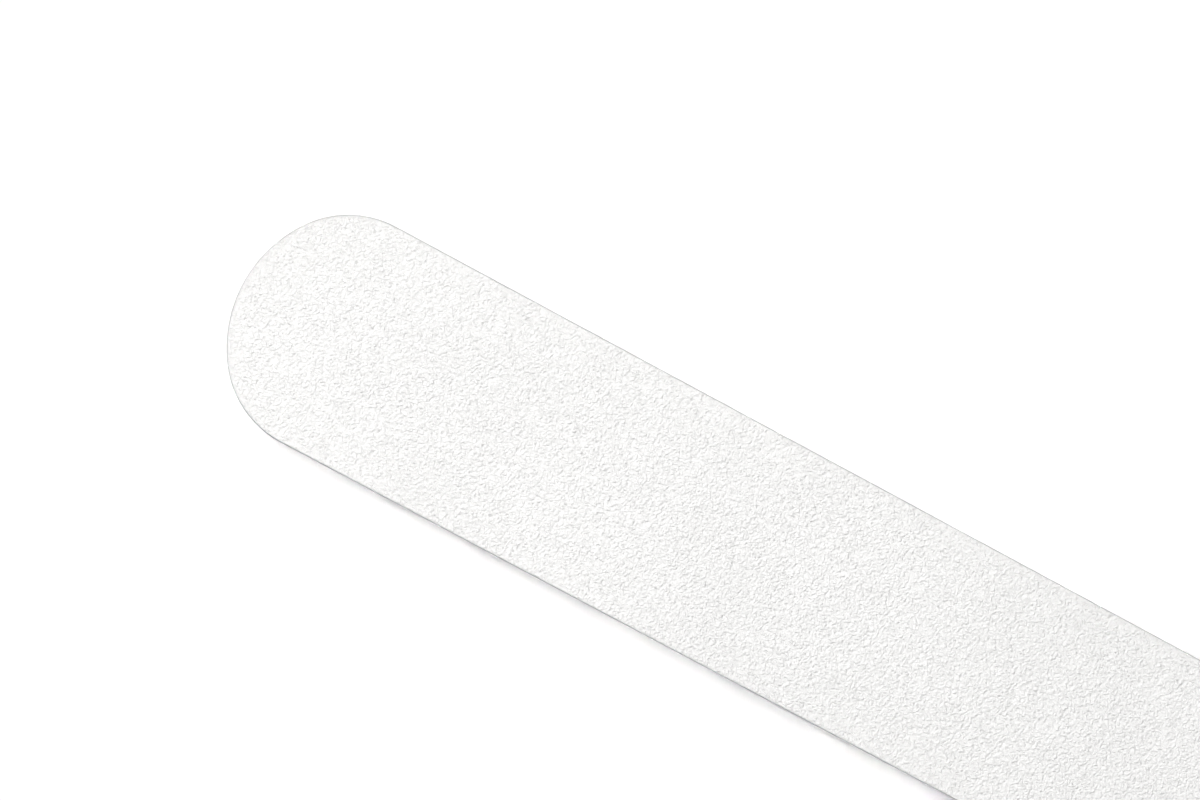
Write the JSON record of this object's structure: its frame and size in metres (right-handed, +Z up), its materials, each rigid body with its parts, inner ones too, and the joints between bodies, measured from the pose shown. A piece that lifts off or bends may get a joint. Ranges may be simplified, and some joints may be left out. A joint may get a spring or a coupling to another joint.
{
  "type": "diving board",
  "caption": "Long white grained plank with a rounded tip, bolted to a hinged, coil-sprung frame on a low tubular deck stand.",
  "frame": {"origin": "centre of the deck anchor hole pattern, at deck level", "axes": "+X towards the board's tip, +Y to the diver's left, +Z up"},
  "size_m": [2.4999, 0.508, 0.5125],
  "materials": {
    "tread_grit": "coarse grit cast in white acrylic",
    "shell_gelcoat": "smooth white gel coat",
    "skin_laminate": "white glass laminate",
    "core_timber": "sawn fir",
    "stainless": "stainless steel",
    "black_rubber": "moulded rubber",
    "grey_enamel": "grey powder coat",
    "spring_steel": "grey coated spring steel",
    "cap_plastic": "moulded black plastic",
    "bush_nylon": "natural nylon"
  },
  "bodies": {
    "stand": {"foot_gaskets": "black_rubber", "front_cross_tube": "grey_enamel", "front_left_foot": "grey_enamel", "front_right_foot": "grey_enamel", "hinge_beam": "grey_enamel", "hinge_nut": "stainless", "hinge_shaft": "stainless", "hinge_washers": "stainless", "left_bump_stop": "black_rubber", "left_bumper_seat": "grey_enamel", "left_hoop": "grey_enamel", "left_inner_ear": "grey_enamel", "left_lower_cup": "grey_enamel", "left_outer_ear": "grey_enamel", "left_spring": "spring_steel", "rear_cross_tube": "grey_enamel", "rear_left_foot": "grey_enamel", "rear_right_foot": "grey_enamel", "right_bump_stop": "black_rubber", "right_bumper_seat": "grey_enamel", "right_hoop": "grey_enamel", "right_inner_ear": "grey_enamel", "right_lower_cup": "grey_enamel", "right_outer_ear": "grey_enamel", "right_spring": "spring_steel", "spring_beam": "grey_enamel", "tail_bumpers": "black_rubber"},
    "board": {"board_bolts": "stainless", "board_nuts": "stainless", "bolt_seals": "black_rubber", "bolt_sleeves": "stainless", "bolt_washers": "stainless", "bottom_skin": "skin_laminate", "core_stave_1": "core_timber", "core_stave_2": "core_timber", "core_stave_3": "core_timber", "core_stave_4": "core_timber", "core_stave_5": "core_timber", "core_stave_6": "core_timber", "core_stave_7": "core_timber", "core_stave_8": "core_timber", "fulcrum_bar": "grey_enamel", "fulcrum_rubber": "black_rubber", "hinge_bushings": "bush_nylon", "left_carrier_rail": "grey_enamel", "left_hinge_barrel": "grey_enamel", "left_upper_cup": "grey_enamel", "non_slip_tread": "tread_grit", "nut_washers": "stainless", "rail_end_caps": "cap_plastic", "rear_board_pad": "black_rubber", "rear_mount_plate": "grey_enamel", "right_carrier_rail": "grey_enamel", "right_hinge_barrel": "grey_enamel", "right_upper_cup": "grey_enamel", "spring_plate": "grey_enamel", "top_shell": "shell_gelcoat"}
  },
  "joints": [
    {"name": "board_pivot", "type": "hinge", "parent": "stand", "child": "board", "pos_m": [-0.5, 0, 0.352], "axis": [0, 1, 0], "range_deg": [0, 4.5], "stiffness_Nm_per_rad": 28900, "springref_deg": -2.01, "deforming": ["left_spring", "right_spring"]}
  ]
}
